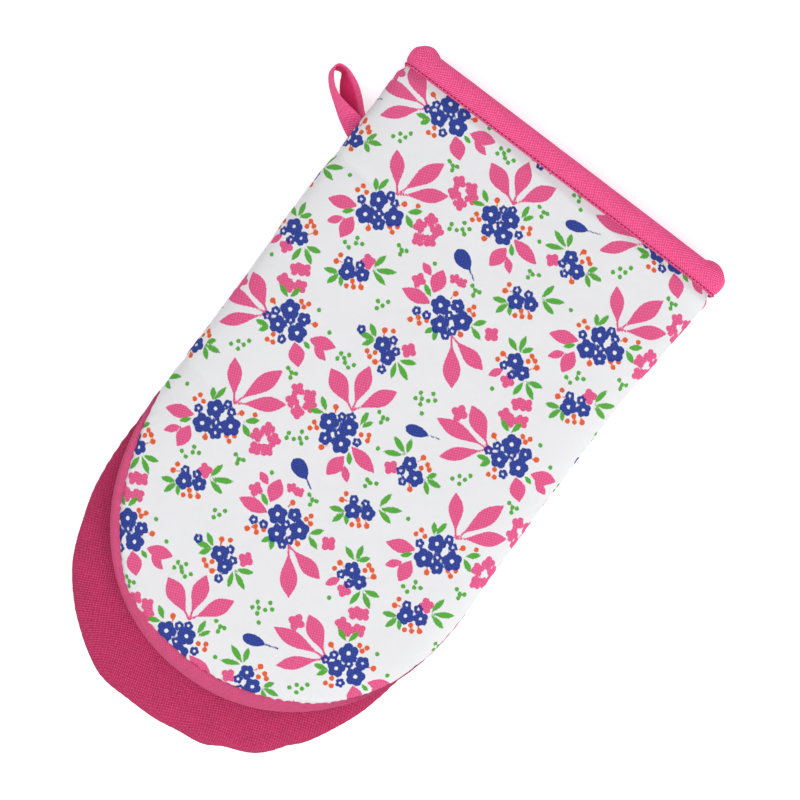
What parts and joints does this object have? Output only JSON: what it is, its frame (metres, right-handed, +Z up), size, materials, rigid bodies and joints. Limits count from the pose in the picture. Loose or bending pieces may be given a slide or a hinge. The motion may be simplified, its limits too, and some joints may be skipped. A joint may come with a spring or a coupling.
{
  "type": "oven mitt",
  "caption": "Padded puppet-style oven mitt with a finger pocket over a thumb pocket, a bound cuff and a tape hanging loop at the side.",
  "frame": {"origin": "middle of the flat underside that the mitt rests on, on the mid-plane of the sleeve and half way between the cuff's edge and the thumb tip", "axes": "+Y from the tips to the cuff, +Z up out of the back of the hand, +X to the wearer's side away from the hanging loop"},
  "size_m": [0.2097, 0.331, 0.0336],
  "materials": {
    "print_cloth": "matte printed cotton, white with a small floral pattern",
    "grip_cloth": "matte pink cotton canvas",
    "tape_cloth": "matte pink woven tape",
    "wadding": "soft off-white fibre",
    "lining_cloth": "plain matte off-white cotton",
    "thread": "dark pink sewing thread"
  },
  "bodies": {
    "sleeve": {"back_shell": "print_cloth", "back_wadding": "wadding", "back_lining": "lining_cloth", "palm_shell": "print_cloth", "palm_wadding": "wadding", "palm_lining": "lining_cloth", "thumb_grip_shell": "grip_cloth", "thumb_grip_wadding": "wadding", "thumb_grip_lining": "lining_cloth", "cuff_binding": "tape_cloth", "cuff_thread": "thread"},
    "finger_pocket": {"finger_shell": "print_cloth", "finger_wadding": "wadding", "finger_lining": "lining_cloth", "finger_grip_shell": "grip_cloth", "finger_grip_wadding": "wadding", "finger_grip_lining": "lining_cloth"},
    "hanging_loop": {"hanging_loop": "tape_cloth"}
  },
  "joints": [
    {"name": "mouth", "type": "hinge", "parent": "sleeve", "child": "finger_pocket", "pos_m": [0, -0.039, 0.0171], "axis": [-1, 0, 0], "range_deg": [0, 60], "stiffness_Nm_per_rad": 0.02},
    {"name": "loop_bend", "type": "hinge", "parent": "sleeve", "child": "hanging_loop", "pos_m": [-0.08943, 0.115, 0.01583], "axis": [0, 1, 0], "range_deg": [-60, 80], "stiffness_Nm_per_rad": 0.002}
  ]
}
